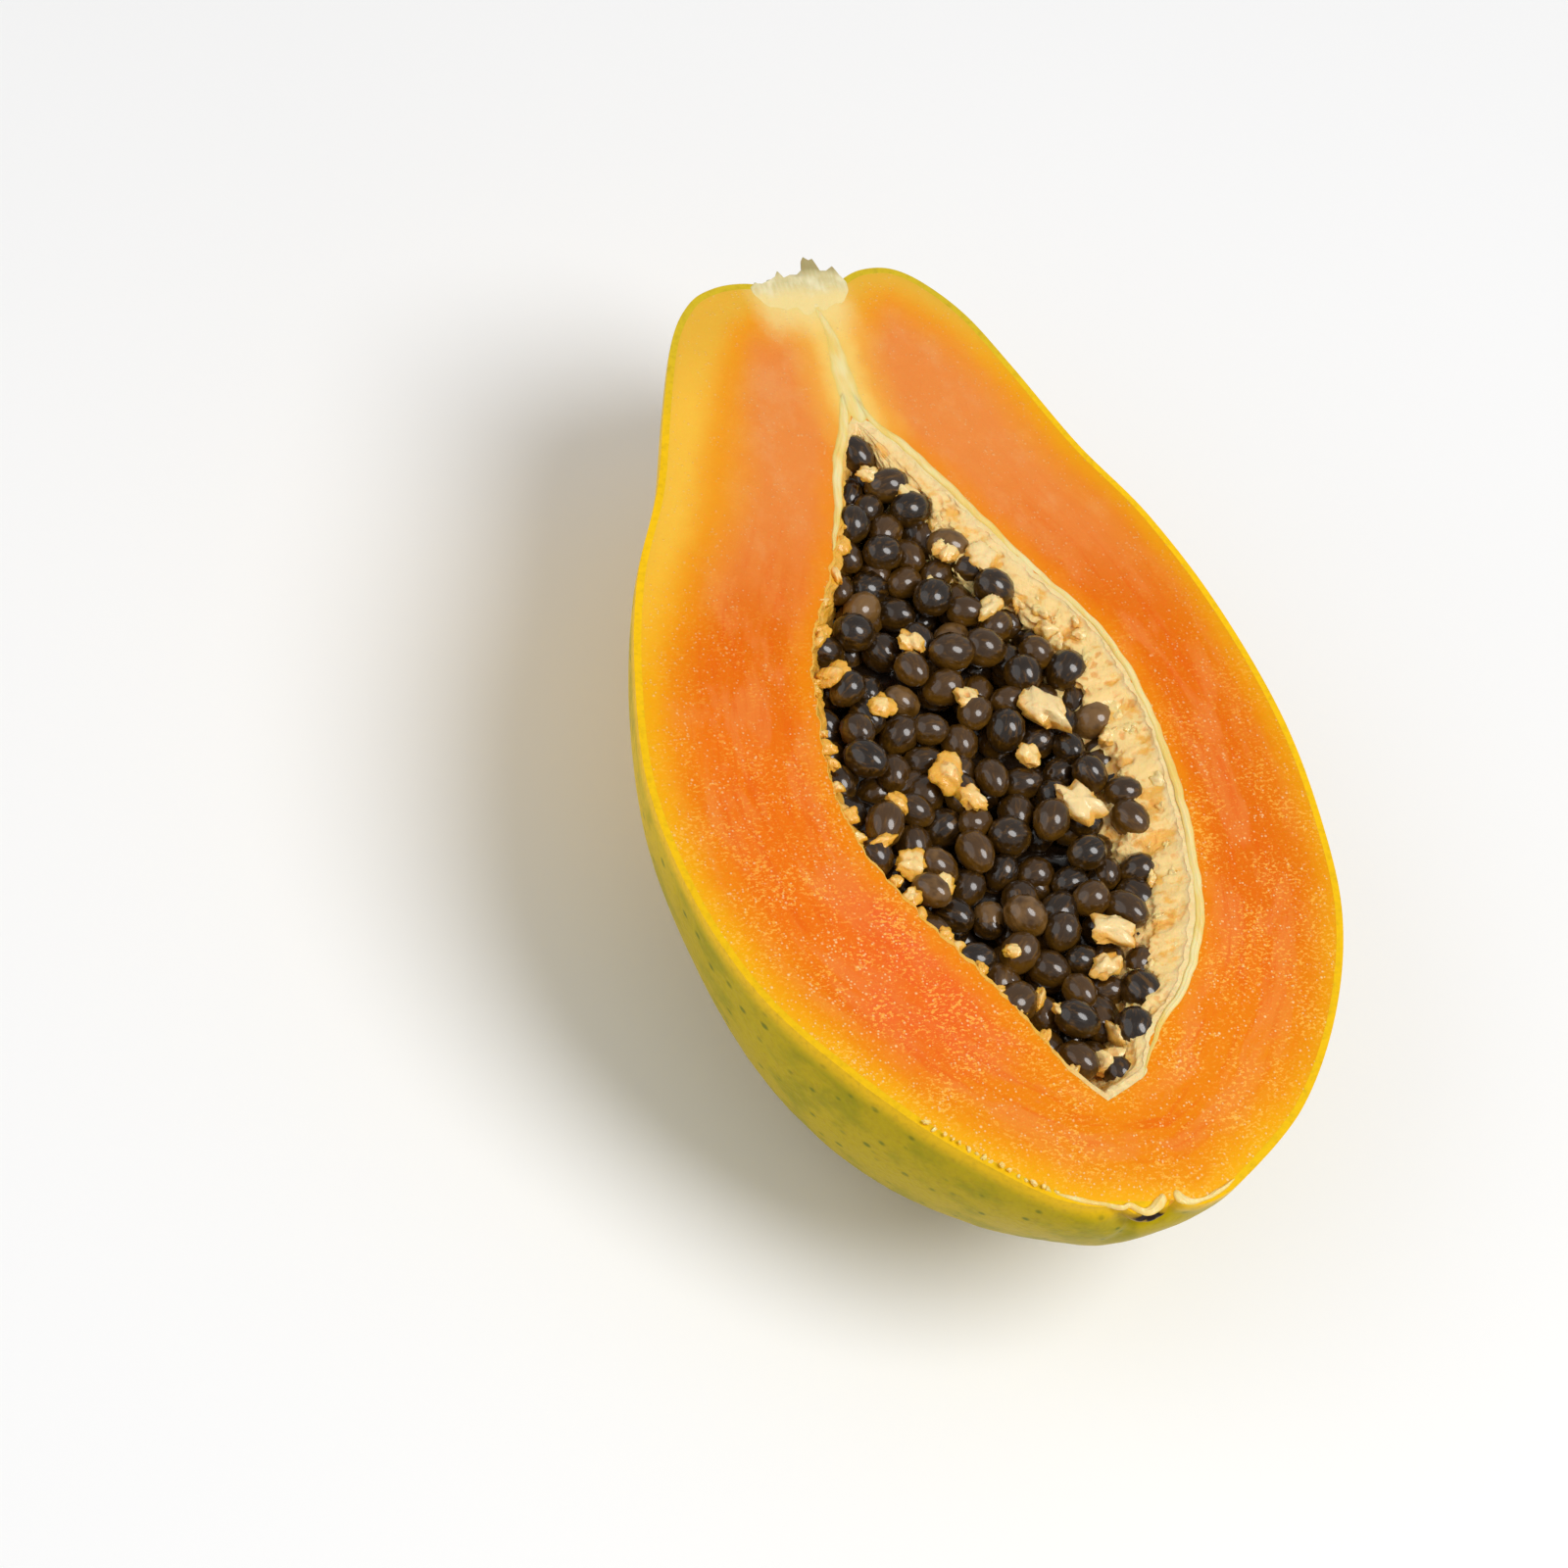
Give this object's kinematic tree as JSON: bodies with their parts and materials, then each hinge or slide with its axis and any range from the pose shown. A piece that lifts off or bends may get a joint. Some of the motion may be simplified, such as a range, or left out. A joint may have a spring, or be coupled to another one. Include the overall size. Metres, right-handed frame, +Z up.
{
  "type": "halved papaya",
  "caption": "Half of a ripe papaya cut lengthwise: green-yellow peel, orange flesh, a pith-lined cavity heaped with dark seeds, and a stub of stalk.",
  "frame": {"origin": "on the supporting surface, under the middle of the bounding box", "axes": "+Y along the fruit towards the stalk end, +X to the right when the stalk end is far away, +Z up out of the cut face"},
  "size_m": [0.1104, 0.1856, 0.0503],
  "materials": {
    "peel": "waxy satin skin, yellow-green with darker green mottling",
    "flesh": "moist cut flesh, orange, paler towards the skin",
    "placenta": "moist cream pith, fibrous and lumpy",
    "seeds": "glossy black-brown seeds in wet, clear coats",
    "stalk": "dry, pale and fibrous broken stalk"
  },
  "bodies": {
    "root": {"peel": "peel", "flesh": "flesh", "placenta": "placenta", "seeds": "seeds", "stalk": "stalk"}
  },
  "joints": []
}
